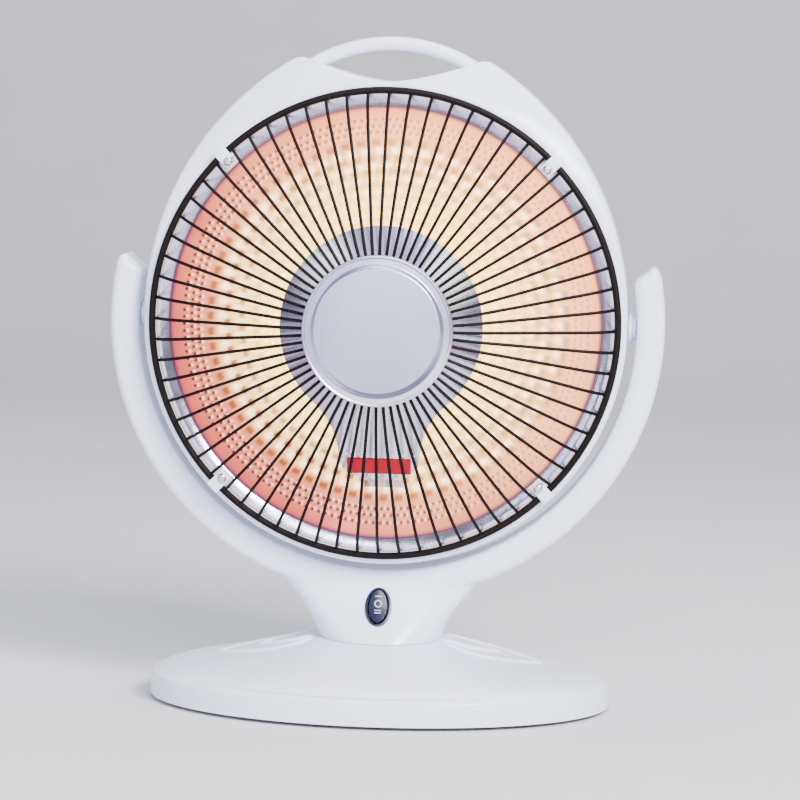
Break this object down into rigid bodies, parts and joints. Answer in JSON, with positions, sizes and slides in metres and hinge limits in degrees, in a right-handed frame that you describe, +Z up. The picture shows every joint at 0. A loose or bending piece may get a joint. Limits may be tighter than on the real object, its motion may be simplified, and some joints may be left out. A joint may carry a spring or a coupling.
{
  "type": "parabolic heater",
  "caption": "Free-standing parabolic heater: a dished reflector head with a wire guard and carrying handle tilts in a yoke that swivels on an oval weighted foot with a rocker switch.",
  "frame": {"origin": "centre of the foot's underside, on the floor", "axes": "+Z up along the swivel axis, -Y the front that the reflector faces, +X to the right seen from the front"},
  "size_m": [0.358, 0.204, 0.433],
  "materials": {
    "white_plastic": "gloss, faintly bluish white moulded plastic",
    "black_plastic": "matte",
    "switch_navy": "satin dark navy with pale switch marks",
    "rubber": "matte",
    "plated_steel": "dark painted sheet",
    "screw_steel": "zinc plated",
    "dish_aluminium": "bright anodised, dimpled, lit warm by the element",
    "element_ceramic": "unglazed",
    "resistance_wire": "oxidised wire, glowing",
    "shield_chrome": "mirror bright",
    "band_red": "semi gloss",
    "guard_black": "semi gloss black enamel",
    "disc_steel": "satin brushed, bright rim"
  },
  "bodies": {
    "foot_base": {"base_cover": "white_plastic", "base_plate": "plated_steel", "base_weight": "plated_steel", "foot_1": "rubber", "foot_2": "rubber", "foot_3": "rubber", "foot_4": "rubber", "base_screw_1": "screw_steel", "base_screw_2": "screw_steel", "base_screw_3": "screw_steel", "base_screw_4": "screw_steel", "tip_switch_body": "black_plastic", "cord_gland": "rubber"},
    "plunger": {"tip_plunger": "black_plastic"},
    "yoke": {"yoke_front_shell": "white_plastic", "yoke_rear_shell": "white_plastic", "yoke_screw_1": "screw_steel", "yoke_screw_2": "screw_steel", "yoke_screw_3": "screw_steel", "yoke_screw_4": "screw_steel", "swivel_spigot": "black_plastic", "swivel_retainer": "black_plastic", "switch_body": "switch_navy"},
    "rocker": {"switch_rocker": "switch_navy"},
    "head": {"front_housing": "white_plastic", "rear_housing": "white_plastic", "carry_handle": "white_plastic", "pivot_pin_left": "white_plastic", "pivot_pin_right": "white_plastic", "reflector_dish": "dish_aluminium", "element_socket": "element_ceramic", "element_former": "element_ceramic", "heating_coil": "resistance_wire", "element_shield": "shield_chrome", "shield_band": "band_red", "guard": "guard_black", "centre_disc": "disc_steel", "guard_clip_1": "white_plastic", "clip_screw_1": "screw_steel", "guard_clip_2": "white_plastic", "clip_screw_2": "screw_steel", "guard_clip_3": "white_plastic", "clip_screw_3": "screw_steel", "guard_clip_4": "white_plastic", "clip_screw_4": "screw_steel"}
  },
  "joints": [
    {"name": "base_swivel", "type": "hinge", "parent": "foot_base", "child": "yoke", "pos_m": [0, 0, 0.044], "axis": [0, 0, 1], "range_deg": [-35, 35]},
    {"name": "head_tilt", "type": "hinge", "parent": "yoke", "child": "head", "pos_m": [0, 0, 0.25], "axis": [-1, 0, 0], "range_deg": [-10, 25]},
    {"name": "switch_rocker", "type": "hinge", "parent": "yoke", "child": "rocker", "pos_m": [0, -0.02432, 0.06504], "axis": [1, 0, 0], "range_deg": [-9, 9]},
    {"name": "tip_plunger", "type": "slide", "parent": "foot_base", "child": "plunger", "axis": [0, 0, -1], "range_m": [0, 0.004], "stiffness_N_per_m": 120, "springref_m": 0.006}
  ]
}
